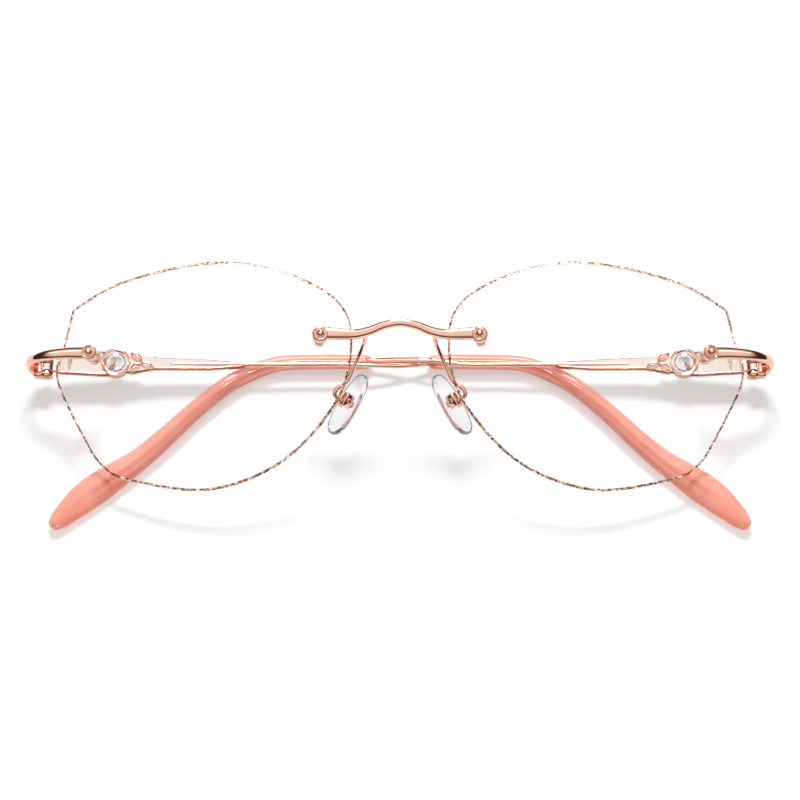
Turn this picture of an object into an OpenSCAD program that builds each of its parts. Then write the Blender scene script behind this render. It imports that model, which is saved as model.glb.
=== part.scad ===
// Rimless eyeglasses, folded and lying face up on a table.
// +Z is up from the table, +X runs along the front and +Y points to the top of the frame.
// Two tilted frames carry the geometry: the front frame (lenses, bridge, nose pads) and the
// temple frame (hinges, folded temples). The left half is at -X, the right half at +X.

/* [Lenses] */
// Width of each lens
lens_w = 55.8; // [54:0.1:57]
// Height of each lens
lens_h = 43.6; // [42:0.1:45]
// Thickness of each lens
lens_t = 1.6; // [1.4:0.1:1.8]
// Radius of the curved front surface of a lens
lens_curve_r = 125; // [115:1:140]
// Width of the cut, coated edge line
edge_w = 0.45; // [0.3:0.05:0.6]
// Face-form angle of each lens
wrap_angle = 6; // [5:0.5:7]
// Distance from the centre line to the middle of a lens
lens_middle_x = 36.6; // [36:0.1:37.2]

/* [Bridge] */
// Half the height of the bridge bar at its ends
bridge_end_half = 1.25; // [1.15:0.05:1.35]
// Half the height of the bridge bar at its middle
bridge_mid_half = 0.75; // [0.7:0.05:0.9]

/* [Rivets] */
// Radius of the studs that hold the lenses
stud_r = 0.6; // [0.5:0.05:0.65]
// Radius of the clear washers
washer_r = 1.35; // [1.2:0.05:1.4]
// Thickness of the clear washers
washer_t = 0.4; // [0.3:0.05:0.5]

/* [Nose pads] */
// Length of a pad
pad_l = 12.8; // [12:0.1:13.2]
// Width of a pad
pad_w = 5.8; // [5.4:0.1:6.2]
// Thickness of a pad
pad_t = 1.6; // [1.4:0.1:1.7]
// Angle of a pad's long axis from upright
pad_lean = 28; // [26:1:30]
// Angle of a pad's face from the middle plane
pad_splay = 42; // [40:1:44]

/* [Hinges] */
// Radius of the hinge knuckles
knuckle_r = 1.25; // [1.2:0.05:1.3]
// Radius of the hinge screw's shank
hinge_pin_r = 0.45; // [0.4:0.05:0.5]

/* [Temples] */
// Thickness of the flat temple plate
plate_t = 1.1; // [1:0.05:1.2]
// Radius of the round stone setting
bezel_r = 2.75; // [2.65:0.05:2.85]
// Radius of the core wire
wire_r = 0.45; // [0.35:0.05:0.45]

/* [Hidden] */
$fn = 48;
metal = [0.87, 0.62, 0.50];
pale_metal = [0.96, 0.84, 0.78];
clear = [0.92, 0.94, 0.96, 0.4];
salmon = [0.91, 0.52, 0.46];

front_tilt = 18;      // angle of the lens plane from the table
temple_tilt = 11;     // angle of the temples' height direction from the table
front_lift = 0.9;     // how far the lenses stand clear of the temple sleeves
origin_shift = [0, -1.23, -0.05];   // puts the origin under the middle, on the table
gap = 0.05;           // running clearance at the hinges
slip = 0.02;          // clearance of a piece that is pushed over another
long = 20;            // longer than any hole is deep

// ---- curves ----
function spline_point(a, b, c, d, t) =
    0.5 * (2 * b + (c - a) * t + (2 * a - 5 * b + 4 * c - d) * t * t
           + (3 * b - a - 3 * c + d) * t * t * t);
function smooth(p, n) = let (last = len(p) - 1) concat(
    [for (i = [0:last - 1], k = [0:n - 1])
        spline_point(p[max(i - 1, 0)], p[i], p[i + 1], p[min(i + 2, last)], k / n)],
    [p[last]]);
function unit(v) = v / norm(v);
function place(p) = [p[0], p[1], p[2]];
function heading(path, i) =
    unit(place(path[min(i + 1, len(path) - 1)]) - place(path[max(i - 1, 0)]));
function ring(path, i, sides, up) =
    let (t = heading(path, i), w = unit(cross(up, t)), d = cross(t, w))
    [for (k = [0:sides - 1]) place(path[i])
        + w * path[i][3] * cos(360 * k / sides) + d * path[i][4] * sin(360 * k / sides)];
function tube(path, r) = [for (p = path) [p[0], p[1], p[2], r, r]];

// A bar of oval section along a path; each station is [x, y, z, half width, half depth]
module sweep(path, sides, up = [0, 0, 1]) {
    n = len(path);
    walls = [for (i = [0:n - 2], k = [0:sides - 1])
        [i * sides + k, (i + 1) * sides + k,
         (i + 1) * sides + (k + 1) % sides, i * sides + (k + 1) % sides]];
    first = [for (k = [0:sides - 1]) k];
    last = [for (k = [sides - 1:-1:0]) (n - 1) * sides + k];
    polyhedron(points = [for (i = [0:n - 1]) each ring(path, i, sides, up)],
               faces = concat(walls, [first, last]));
}

// ---- frames ----
module side(right) { mirror([right ? 1 : 0, 0, 0]) children(); }
module front_frame() {
    translate(origin_shift) rotate([front_tilt, 0, 0]) translate([0, 0, front_lift]) children();
}
module temple_frame() { translate(origin_shift) rotate([temple_tilt, 0, 0]) children(); }

// ---- lenses ----
lens_middle_u = 7.6;      // height of the lens centre in the front frame
lens_middle_f = 8.75;     // its distance forward in the front frame
lens_sag = 2.4;           // how far the curve stands forward of the mean edge
// Outline of the left lens around its centre, for a lens 55.8 wide and 43.6 high;
// the first point is the sharp outer corner
lens_points = [[-24.9, 13.6], [-15, 18.7], [2, 21.8], [15, 19.7], [24.9, 14.3], [27.9, 6.6],
               [25.5, -5], [15.5, -16.6], [2, -21.8], [-12, -20], [-18.4, -17],
               [-23, -9.9], [-27.7, 0.3], [-26.5, 6.4], [-24.9, 13.6]];
lens_size = [lens_w / 55.8, lens_h / 43.6];
lens_curve = smooth([for (p = lens_points) [p[0] * lens_size[0], p[1] * lens_size[1]]], 6);
lens_corners = [for (i = [0:len(lens_curve) - 2]) lens_curve[i]];
function turned(v) = [-v[1], v[0]];
function inset(pts, d) = let (n = len(pts)) [for (i = [0:n - 1])
    let (a = turned(unit(pts[i] - pts[(i + n - 1) % n])),
         b = turned(unit(pts[(i + 1) % n] - pts[i])))
    pts[i] - d * (a + b) / (1 + a * b)];

bridge_rivet = [21.9, 6.6];     // on the lens, from its centre
temple_rivet = [-20.4, 4.2];

module lens_frame() {
    translate([-lens_middle_x, lens_middle_u, lens_middle_f])
        rotate([0, -wrap_angle, 0]) children();
}
// Puts children on the lens's middle surface at a point, with +Z along its normal
module on_lens(at) {
    r = lens_curve_r;
    far = norm(at);
    lens_frame() translate([0, 0, lens_sag - r])
        rotate([0, 0, atan2(at[1], at[0])]) rotate([0, asin(far / r), 0])
            rotate([0, 0, -atan2(at[1], at[0])]) translate([0, 0, r]) children();
}
module curved_sheet() {
    translate([0, 0, lens_sag - lens_curve_r]) difference() {
        sphere(r = lens_curve_r + lens_t / 2, $fn = 96);
        sphere(r = lens_curve_r - lens_t / 2, $fn = 96);
    }
}
module lens_blank(d) {
    intersection() {
        linear_extrude(height = long, center = true) polygon(inset(lens_corners, d));
        curved_sheet();
    }
}
module lens(right) {
    color(clear) front_frame() side(right) difference() {
        lens_frame() lens_blank(edge_w);
        for (at = [bridge_rivet, temple_rivet])
            on_lens(at) cylinder(r = stud_r + gap, h = long, center = true);
    }
}
module lens_edge(right) {
    color(metal) front_frame() side(right) lens_frame() difference() {
        lens_blank(0);
        linear_extrude(height = long * 2, center = true) polygon(inset(lens_corners, edge_w));
    }
}

// ---- rivets ----
bar_back = lens_t / 2 + washer_t;   // back face of a bar's end, from the lens's middle
bar_end_t = 1.7;
bar_front = bar_back + bar_end_t;
nut_h = 1.3;
module rivet() {
    ring_r = 1.2;
    ring_h = 0.25;
    ball_r = 0.75;
    translate([0, 0, -bar_back - nut_h + 0.2]) cylinder(r = stud_r, h = bar_front + bar_back + nut_h);
    translate([0, 0, bar_front]) {
        cylinder(r = ring_r, h = ring_h);
        translate([0, 0, ring_h]) sphere(r = ball_r);
    }
}
module washer() {
    difference() {
        cylinder(r = washer_r, h = washer_t, center = true);
        cylinder(r = stud_r + slip, h = long, center = true);
    }
}
module cap_nut() {
    nut_r = 1.15;
    translate([0, 0, -bar_back - nut_h]) difference() {
        union() {
            translate([0, 0, nut_r / 2]) cylinder(r = nut_r, h = nut_h - nut_r / 2);
            cylinder(r1 = nut_r / 2, r2 = nut_r, h = nut_r / 2);
        }
        translate([0, 0, 0.2]) cylinder(r = stud_r + slip, h = long);
    }
}
module both_sides() { for (right = [false, true]) side(right) children(); }
module rivets(at) { color(metal) front_frame() both_sides() on_lens(at) rivet(); }
module washers(at) {
    color(clear) front_frame() both_sides() on_lens(at)
        for (z = [-1, 1]) translate([0, 0, z * (lens_t + washer_t) / 2]) washer();
}
module nuts(at) { color(metal) front_frame() both_sides() on_lens(at) cap_nut(); }

// ---- bridge ----
// Half of the bar from the rivet to the middle: [x, u, f, half height, half depth]
bridge_half = [[-14.6, 14.7, 13.25, bridge_end_half, 0.85], [-11.5, 14.45, 13.5, 1.1, 0.8],
               [-8.9, 14.3, 13.75, 0.97, 0.78], [-7.1, 14.5, 13.9, 0.92, 0.76],
               [-5.3, 15.0, 14.0, 0.88, 0.75], [-3.0, 15.9, 14.1, 0.8, 0.72],
               [0, 16.4, 14.2, bridge_mid_half, 0.7]];
bridge_path = smooth(concat(bridge_half, [for (i = [len(bridge_half) - 2:-1:0])
    let (p = bridge_half[i]) [-p[0], p[1], p[2], p[3], p[4]]]), 4);
module bar_end(r) { translate([0, 0, bar_back]) cylinder(r = r, h = bar_end_t); }
module stud_hole() { cylinder(r = stud_r + slip, h = long, center = true); }
module bridge() {
    color(metal) front_frame() difference() {
        union() {
            sweep(bridge_path, 16);
            both_sides() on_lens(bridge_rivet) bar_end(1.4);
        }
        both_sides() on_lens(bridge_rivet) stud_hole();
    }
}

// ---- nose pads ----
pad_at = [-9.45, 2.9, 5.0];     // middle of the left pad in the front frame
pivot_back = 2.1;               // distance of the pad's pivot from the pad's middle
lug_side = 1.2;                 // how far the lug stands from the middle of the pad's width
arm_r = 0.4;
arm_path = tube(smooth([[-6.4, 14.35, 13.5], [-6.5, 13.6, 11.8], [-7.45, 11.5, 10.0],
    [-8.7, 8.95, 9.1], [-9.6, 6.9, 8.9], [-10.5, 5.8, 9.0], [-11.6, 5.2, 9.1],
    [-12.1, 4.1, 8.9], [-11.5, 3.3, 8.4], [-10.95, 3.0, 7.85]], 4), arm_r);
module pad_frame() {
    translate(pad_at) rotate([0, 0, -pad_lean]) rotate([0, pad_splay, 0]) children();
}
box_h = 2.6;
box_w = 2.6;
box_wall = 0.45;
pad_pin_r = 0.3;
module pad_box(right) {
    color(metal) front_frame() side(right) pad_frame() translate([-pivot_back, 0, lug_side])
        difference() {
            translate([-1.1, -box_h / 2, -box_w / 2]) cube([1.9, box_h, box_w]);
            translate([-1.1 + box_wall, -long / 2, -box_w / 2 + box_wall])
                cube([long, long, box_w - 2 * box_wall]);
            cylinder(r = pad_pin_r + slip, h = long, center = true);
        }
}
module pad_screw(right) {
    color(metal) front_frame() side(right) pad_frame()
        translate([-pivot_back, 0, lug_side - box_w / 2 - 0.1]) {
            cylinder(r = pad_pin_r, h = box_w + 0.1);
            difference() {
                translate([0, 0, box_w + 0.1]) cylinder(r = 0.65, h = 0.35);
                translate([-long / 2, -0.1, box_w + 0.25]) cube([long, 0.2, 1]);
            }
        }
}
module pad_arm(right) {
    color(metal) front_frame() side(right) sweep(arm_path, 10);
}
lug_w = box_w - 2 * box_wall - 2 * gap;
module nose_pad(right) {
    color(clear) front_frame() side(right) pad_frame() difference() {
        union() {
            hull() for (y = [-1, 1]) translate([0, y * (pad_l - pad_w) / 2, 0])
                rotate([0, 90, 0]) cylinder(r = pad_w / 2, h = pad_t, center = true, $fn = 32);
            translate([-pivot_back, 0, lug_side]) {
                translate([0, -0.6, -lug_w / 2]) cube([pivot_back, 1.2, lug_w]);
                cylinder(r = 0.6, h = lug_w, center = true);
            }
        }
        translate([-pivot_back, 0, lug_side])
            cylinder(r = pad_pin_r + gap, h = lug_w + 1, center = true);
    }
}

// ---- endpieces and hinges ----
hinge_x = -66.4;      // hinge axis, in the temple frame
hinge_n = 2.2;
hinge_low = 9.1;      // lowest point of the knuckles along the axis
knuckle_h = [1.15, 1.5, 1.15];
tongue_low = hinge_low + knuckle_h[0];
hinge_top = hinge_low + knuckle_h[0] + knuckle_h[1] + knuckle_h[2];
// The bar that wraps from the lens to the hinge: [x, g, n, half depth, half height]
wrap_path = smooth([[-57.6, 10.55, 11.4, 0.7, 1.2], [-61.5, 10.8, 10.75, 0.7, 1.1],
    [-65.6, 10.75, 9.75, 0.75, 0.98], [-68.4, 10.75, 7.6, 0.75, 0.9],
    [-69.4, 10.9, 5.2, 0.7, 1.0], [-69.1, 11.0, 3.4, 0.7, 1.4],
    [-68.5, 11.0, 2.3, 0.65, 1.7]], 4);
module along_hinge(from, h, r) {
    translate([hinge_x, from, hinge_n]) rotate([-90, 0, 0]) cylinder(r = r, h = h);
}
module knuckle(from, h) {
    along_hinge(from, h, knuckle_r);
    translate([hinge_x - 2.3, from, hinge_n - 0.8]) cube([2.3, h, 1.6]);
}
module endpiece(right) {
    color(metal) difference() {
        union() {
            temple_frame() side(right) {
                sweep(wrap_path, 16, [0, 1, 0]);
                knuckle(hinge_low, knuckle_h[0] - gap);
                knuckle(tongue_low + knuckle_h[1] + gap, knuckle_h[2] - gap);
            }
            front_frame() side(right) on_lens(temple_rivet) bar_end(1.5);
        }
        front_frame() side(right) on_lens(temple_rivet) stud_hole();
        temple_frame() side(right) {
            along_hinge(0, long, hinge_pin_r + slip);
            along_hinge(tongue_low - gap, knuckle_h[1] + 2 * gap, knuckle_r + 3 * gap);
        }
    }
}
module hinge_screw(right) {
    head_r = 0.85;
    color(metal) temple_frame() side(right) {
        along_hinge(hinge_low - 0.15, hinge_top - hinge_low + 0.15, hinge_pin_r);
        difference() {
            along_hinge(hinge_top, 0.35, head_r);
            translate([hinge_x - 0.12, hinge_top + 0.15, hinge_n - 2]) cube([0.24, 1, 4]);
        }
    }
}

// ---- temples ----
bar_slope = 1.6;      // the metal bar falls away from the lens along its length
bezel_at = [12.9, 12.15];                // from the hinge axis, and along g
// Leaves beside the stone: [x, g, length, width, angle]
leaves = [[16.8, 13.2, 3.0, 1.5, -33], [16.55, 11.05, 2.6, 1.45, 40], [18.8, 11.5, 2.9, 1.35, -18]];
// Outline of plate and bar: [distance from the hinge axis, g]
plate_outline = [[1.7, 10.3], [2.1, 9.9], [6, 9.75], [10.4, 9.5], [12.9, 9.6], [15.2, 10.2],
                 [16.5, 10.1], [18.8, 10.6], [20.4, 10.85], [30.5, 10.9], [36.4, 11.4],
                 [37.9, 12.0], [36.8, 12.55], [30.5, 13.0], [20.4, 13.35], [15.2, 13.7],
                 [12.9, 14.6], [10.2, 14.6], [6, 14.3], [2.1, 13.9], [1.7, 13.5]];
module bar_frame() {
    translate([hinge_x, 0, hinge_n]) rotate([0, bar_slope, 0]) children();
}
module temple_plate(right) {
    color(pale_metal) temple_frame() side(right) difference() {
        union() {
            bar_frame() linear_extrude(height = plate_t, center = true) {
                polygon(plate_outline);
                translate(bezel_at) circle(r = bezel_r);
            }
            along_hinge(tongue_low + gap / 2, knuckle_h[1] - gap, knuckle_r);
            translate([hinge_x, tongue_low + gap / 2, hinge_n - 0.5])
                cube([2.2, knuckle_h[1] - gap, 1]);
        }
        along_hinge(0, long, hinge_pin_r + gap / 2);
        bar_frame() translate(bezel_at) cylinder(r = stone_r + slip, h = long, center = true);
    }
}
setting_h = 0.45;     // a rim on each face of the plate holds the stone
stone_r = 2.25;
module bezel(right) {
    color(metal) temple_frame() side(right) bar_frame() translate(bezel_at)
        for (face = [-1, 1]) translate([0, 0, face * (plate_t + setting_h) / 2]) difference() {
            cylinder(r = bezel_r, h = setting_h, center = true);
            cylinder(r = stone_r + slip, h = long, center = true);
        }
}
module crystal(right) {
    girdle = 0.3;
    crown = 0.7;
    point = 1.3;
    color(clear) temple_frame() side(right) bar_frame() translate(bezel_at) {
        translate([0, 0, girdle]) cylinder(r1 = stone_r, r2 = 0.25, h = point);
        cylinder(r = stone_r, h = girdle);
        translate([0, 0, -crown]) cylinder(r1 = 1.35, r2 = stone_r, h = crown);
    }
}
module leaf(l, w) {
    r = (l * l + w * w) / (4 * w);
    intersection_for (s = [-1, 1]) translate([0, s * (r - w / 2)]) circle(r = r);
}
module leaf_ornament(right) {
    leaf_t = 0.3;
    color(metal) temple_frame() side(right) bar_frame()
        for (face = [-1, 1], q = leaves)
            translate([q[0], q[1], face * (plate_t + leaf_t) / 2]) rotate([0, 0, q[4]])
                linear_extrude(height = leaf_t, center = true) leaf(q[2], q[3]);
}
// Height along g of the two core wires where they cross: left passes below, right above
crossing = [[12.1, 12.3, 13.05], [13.0, 13.45, 13.6]];
function wire_route(right) = let (g = crossing[right ? 1 : 0])
    [[-43, 12.0, 1.75], [-36, 12.0, 1.6], [-29, 12.05, 1.4], [-20, 12.1, 1.28], [-12, 12.15, 1.2],
     [-6.4, g[0], 0.98], [0, g[1], 0.05], [5.4, g[2], -0.8], [9.5, 13.45, -1.0],
     [16, 13.5, -1.0], [21, 13.35, -1.0], [24.6, 12.7, -0.95], [28.4, 11.0, -0.65],
     [32.6, 8.4, 0.1], [38.4, 3.0, 1.25], [44.2, -3.2, 2.4], [48.7, -7.6, 3.15],
     [53.0, -11.0, 3.7], [56.5, -13.8, 4.15]];
wire_steps = 3;         // stations for each stretch of the core wire
module temple_wire(right) {
    color(metal) temple_frame() side(right)
        sweep(tube(smooth(wire_route(right), wire_steps), wire_r), 10);
}
// The moulded sleeve: [x, g, n, half width, half depth]
sleeve_route = [[6.1, 13.45, -0.95, 1.1, 1.1], [6.7, 13.45, -0.95, 1.38, 1.38],
    [12, 13.5, -0.98, 1.42, 1.42], [20.8, 13.35, -1.0, 1.45, 1.42],
    [24.6, 12.7, -0.95, 1.5, 1.42], [28.4, 11.0, -0.65, 1.58, 1.42],
    [32.6, 8.4, 0.1, 1.65, 1.42], [38.4, 3.0, 1.25, 1.75, 1.42], [44.2, -3.2, 2.4, 1.95, 1.42],
    [48.7, -7.6, 3.15, 2.2, 1.4], [52.6, -10.7, 3.65, 2.65, 1.35], [55.3, -12.8, 3.98, 2.95, 1.3],
    [58.4, -15.45, 4.4, 2.85, 1.27], [60.6, -17.65, 4.8, 2.4, 1.22], [62.6, -19.8, 5.2, 1.85, 1.15],
    [63.6, -20.9, 5.42, 1.3, 1.0], [64.05, -21.4, 5.52, 0.7, 0.7]];
module temple_sleeve(right) {
    color(salmon) temple_frame() side(right) difference() {
        sweep(smooth(sleeve_route, 3), 16);
        sweep(tube(smooth(wire_route(right), wire_steps), wire_r + slip), 10);
    }
}

lens(false);  // lens_left
lens(true);  // lens_right
lens_edge(false);  // lens_edge_left
lens_edge(true);  // lens_edge_right
bridge();
rivets(bridge_rivet);  // bridge_rivets
washers(bridge_rivet);  // bridge_washers
nuts(bridge_rivet);  // bridge_nuts
rivets(temple_rivet);  // temple_rivets
washers(temple_rivet);  // temple_washers
nuts(temple_rivet);  // temple_nuts
pad_arm(false);  // pad_arm_left
pad_arm(true);  // pad_arm_right
pad_box(false);  // pad_box_left
pad_box(true);  // pad_box_right
pad_screw(false);  // pad_screw_left
pad_screw(true);  // pad_screw_right
nose_pad(false);  // nose_pad_left
nose_pad(true);  // nose_pad_right
endpiece(false);  // endpiece_left
endpiece(true);  // endpiece_right
hinge_screw(false);  // hinge_screw_left
hinge_screw(true);  // hinge_screw_right
temple_plate(false);  // temple_plate_left
temple_plate(true);  // temple_plate_right
bezel(false);  // bezel_left
bezel(true);  // bezel_right
crystal(false);  // crystal_left
crystal(true);  // crystal_right
leaf_ornament(false);  // leaf_ornament_left
leaf_ornament(true);  // leaf_ornament_right
temple_wire(false);  // temple_wire_left
temple_wire(true);  // temple_wire_right
temple_sleeve(false);  // temple_sleeve_left
temple_sleeve(true);  // temple_sleeve_right
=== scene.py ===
import math
import random

import bmesh
import bpy
from mathutils import Matrix, Vector


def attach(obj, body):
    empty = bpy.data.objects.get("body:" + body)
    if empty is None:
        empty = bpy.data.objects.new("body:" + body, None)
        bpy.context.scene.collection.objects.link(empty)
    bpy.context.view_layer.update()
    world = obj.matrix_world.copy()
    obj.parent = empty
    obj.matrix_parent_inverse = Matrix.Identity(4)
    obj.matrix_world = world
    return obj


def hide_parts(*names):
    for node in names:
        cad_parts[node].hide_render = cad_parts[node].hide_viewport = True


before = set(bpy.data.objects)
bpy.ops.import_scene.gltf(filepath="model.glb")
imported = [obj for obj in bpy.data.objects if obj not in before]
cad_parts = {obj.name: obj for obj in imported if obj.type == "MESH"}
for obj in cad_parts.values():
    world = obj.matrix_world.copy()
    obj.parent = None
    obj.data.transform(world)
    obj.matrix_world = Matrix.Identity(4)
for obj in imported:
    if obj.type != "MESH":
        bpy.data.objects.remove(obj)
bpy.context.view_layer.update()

# ---------------------------------------------------------------- sizes, in millimetres
MM = 0.001
ORIGIN = Vector((0, -1.23, -0.05))     # the zero of the sizes below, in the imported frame
FRONT_TILT = math.radians(18)          # of the lenses, from the table
TEMPLE_TILT = math.radians(11)         # of the folded temples, from the table
FRONT_LIFT = 0.9
WRAP = math.radians(6)                 # of each lens, back towards the endpiece
LENS_MIDDLE = Vector((-36.6, 7.6, 8.75))
LENS_SAG = 2.4
LENS_R = 125                           # of the lens's curve
LENS_T = 1.6
EDGE_W = 0.45                          # of the coated edge
LENS_POINTS = [(-24.9, 13.6), (-15, 18.7), (2, 21.8), (15, 19.7), (24.9, 14.3), (27.9, 6.6),
               (25.5, -5), (15.5, -16.6), (2, -21.8), (-12, -20), (-18.4, -17),
               (-23, -9.9), (-27.7, 0.3), (-26.5, 6.4), (-24.9, 13.6)]
BRIDGE_RIVET = (21.9, 6.6)
TEMPLE_RIVET = (-20.4, 4.2)
WASHER_T = 0.4
WASHER_R = 1.35
BAR_BACK = LENS_T / 2 + WASHER_T
BAR_END_T = 1.7
BAR_FRONT = BAR_BACK + BAR_END_T
HINGE_X, HINGE_N = -66.4, 2.2
KNUCKLES = [(9.1, 10.2), (10.275, 11.725), (11.8, 12.9)]
KNUCKLE_R, KNUCKLE_BORE = 1.25, 0.48
BAR_SLOPE = math.radians(1.6)
PLATE_T = 1.1
PLATE_HOLLOW = 0.42                    # depth of the channel near the hinge
STONE_AT = (12.9, 12.15)
BEZEL_R = 2.75
STONE_R = 2.25
EYE_R = STONE_R + 0.03
SIDES = ("left", "right")

# ---------------------------------------------------------------- frames
MIRROR = Matrix.Scale(-1, 4, (1, 0, 0))


def moved(x, y, z):
    return Matrix.Translation((x, y, z))


def turn(angle, axis):
    return Matrix.Rotation(angle, 4, axis)


def side_of(side):
    return MIRROR if side == "right" else Matrix.Identity(4)


def front(side):
    return (Matrix.Translation(ORIGIN) @ turn(FRONT_TILT, "X") @ moved(0, 0, FRONT_LIFT)
            @ side_of(side))


def temple(side):
    return Matrix.Translation(ORIGIN) @ turn(TEMPLE_TILT, "X") @ side_of(side)


def lens_place(side):
    return front(side) @ Matrix.Translation(LENS_MIDDLE) @ turn(-WRAP, "Y")


def on_lens(side, at):
    """The lens's middle surface at a point, with +Z along its normal."""
    way = math.atan2(at[1], at[0])
    lean = math.asin(math.hypot(*at) / LENS_R)
    return (lens_place(side) @ moved(0, 0, LENS_SAG - LENS_R) @ turn(way, "Z")
            @ turn(lean, "Y") @ turn(-way, "Z") @ moved(0, 0, LENS_R))


def bar_place(side):
    return temple(side) @ moved(HINGE_X, 0, HINGE_N) @ turn(BAR_SLOPE, "Y")


def hinge_place(side):
    """+Z along the hinge axis, up the temple's height."""
    return temple(side) @ moved(HINGE_X, 0, HINGE_N) @ turn(-math.pi / 2, "X")


# ---------------------------------------------------------------- curves and meshes
def smooth(points, steps):
    """Catmull-Rom through the points, each a tuple of any length."""
    last, out = len(points) - 1, []
    for i in range(last):
        a, b, c, d = (points[j] for j in (max(i - 1, 0), i, i + 1, min(i + 2, last)))
        for k in range(steps):
            t = k / steps
            out.append(tuple(0.5 * (2 * q + (r - p) * t + (2 * p - 5 * q + 4 * r - s) * t * t
                                    + (3 * q - p - 3 * r + s) * t ** 3)
                             for p, q, r, s in zip(a, b, c, d)))
    return out + [tuple(points[last])]


class Shape:
    """Vertices and faces gathered in millimetres."""

    def __init__(self):
        self.points, self.faces = [], []

    def add(self, points, faces, place=None):
        start = len(self.points)
        self.points += [tuple(place @ Vector(p)) if place else tuple(p) for p in points]
        self.faces += [tuple(start + i for i in f) for f in faces]
        return self

    def loops(self, rings, place=None, caps=True, closed=False):
        """Joins rings of points into a skin."""
        n, sides = len(rings), len(rings[0])
        faces = [(i * sides + k, i * sides + (k + 1) % sides,
                  (i + 1) % n * sides + (k + 1) % sides, (i + 1) % n * sides + k)
                 for i in range(n if closed else n - 1) for k in range(sides)]
        if caps and not closed:
            faces += [tuple(range(sides)), tuple((n - 1) * sides + k for k in range(sides))]
        return self.add([p for r in rings for p in r], faces, place)

    def sweep(self, path, sides, place=None, up=(0, 0, 1), power=1.0, round_ends=False):
        """A bar along stations (x, y, z, half width, half depth)."""
        spots = [Vector(p[:3]) for p in path]
        rings = []
        for i, p in enumerate(path):
            t = (spots[min(i + 1, len(path) - 1)] - spots[max(i - 1, 0)]).normalized()
            w = Vector(up).cross(t).normalized()
            d = t.cross(w)
            ring = []
            for k in range(sides):
                a = 2 * math.pi * k / sides
                c, s = math.cos(a), math.sin(a)
                ring.append(spots[i] + w * p[3] * math.copysign(abs(c) ** power, c)
                            + d * p[4] * math.copysign(abs(s) ** power, s))
            rings.append(ring)
        if round_ends:
            rings = self.dome(rings, 0) + rings + self.dome(rings, -1)[::-1]
        return self.loops(rings, place)

    @staticmethod
    def dome(rings, which):
        """Rings that round off the first or the last end of a bar."""
        ring, other = rings[which], rings[1 if which == 0 else -2]
        middle = sum(ring, Vector()) / len(ring)
        out = (middle - sum(other, Vector()) / len(other)).normalized()
        reach = min((p - middle).length for p in ring)
        found = []
        for a in (80, 60, 40, 20):
            s, c = math.sin(math.radians(90 - a)), math.cos(math.radians(90 - a))
            found.append([middle + (p - middle) * s + out * reach * c for p in ring])
        return found

    @staticmethod
    def turned(profile, sides):
        """Rings of points: (radius, height) pairs turned about Z."""
        return [[(r * math.cos(2 * math.pi * k / sides), r * math.sin(2 * math.pi * k / sides), z)
                 for k in range(sides)] for r, z in profile]

    def lathe(self, profile, place=None, sides=40):
        """A turned solid, closed at both ends."""
        return self.loops(self.turned(profile, sides), place)

    def hoop(self, profile, place=None, sides=48):
        """A turned ring, from a closed profile."""
        return self.loops(self.turned(profile, sides), place, caps=False, closed=True)

    def block(self, low, high, place=None, bevel=0.1):
        """A box with a small chamfer on every edge."""
        x, y, z = [(a + b) / 2 for a, b in zip(low, high)]
        half = [(b - a) / 2 for a, b in zip(low, high)]
        cuts = [h - bevel for h in half]
        rings = []
        for zz, inset in ((-half[2], bevel), (-cuts[2], 0), (cuts[2], 0), (half[2], bevel)):
            hx, hy = half[0] - inset, half[1] - inset
            c = bevel
            rings.append([(x + px, y + py, z + zz) for px, py in (
                (hx - c, -hy), (hx, -hy + c), (hx, hy - c), (hx - c, hy),
                (-hx + c, hy), (-hx, hy - c), (-hx, -hy + c), (-hx + c, -hy))])
        return self.loops(rings, place)

    def piece(self, name, material, body, replaced=(), slot=None, angle=35):
        """Makes the mesh object; edges sharper than angle stay sharp, and 0 is faceted."""
        mesh = bpy.data.meshes.new(name)
        mesh.from_pydata([[c * MM for c in p] for p in self.points], [], self.faces)
        bm = bmesh.new()
        bm.from_mesh(mesh)
        bmesh.ops.recalc_face_normals(bm, faces=bm.faces)
        bm.to_mesh(mesh)
        bm.free()
        obj = bpy.data.objects.new(name, mesh)
        bpy.context.scene.collection.objects.link(obj)
        mesh.materials.append(material)
        if angle:
            mesh.polygons.foreach_set("use_smooth", [True] * len(mesh.polygons))
            mesh.set_sharp_from_angle(angle=math.radians(angle))
        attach(obj, body)
        if replaced:
            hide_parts(*replaced)


AXIS = 0.001      # smallest radius of a turned shape


def rounded(r, low, high, edge=0.12, turns=3):
    """Profile of a disc or pin with rounded rims, for lathe."""
    out = [(AXIS, low)]
    for k in range(turns + 1):
        a = math.pi / 2 * k / turns
        out.append((r - edge + edge * math.sin(a), low + edge - edge * math.cos(a)))
    for k in range(turns + 1):
        a = math.pi / 2 * k / turns
        out.append((r - edge + edge * math.cos(a), high - edge + edge * math.sin(a)))
    return out + [(AXIS, high)]


def knuckle(shape, place, low, high):
    """One barrel of a hinge round the screw."""
    ease = 0.12
    shape.hoop([(KNUCKLE_BORE, low), (KNUCKLE_R - ease, low), (KNUCKLE_R, low + ease),
                (KNUCKLE_R, high - ease), (KNUCKLE_R - ease, high), (KNUCKLE_BORE, high)],
               place, 40)


# ---------------------------------------------------------------- materials
def new_material(name):
    mat = bpy.data.materials.new(name)
    mat.use_nodes = True
    nt = mat.node_tree
    nt.nodes.clear()
    out = nt.nodes.new("ShaderNodeOutputMaterial")
    return mat, nt, out


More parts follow.
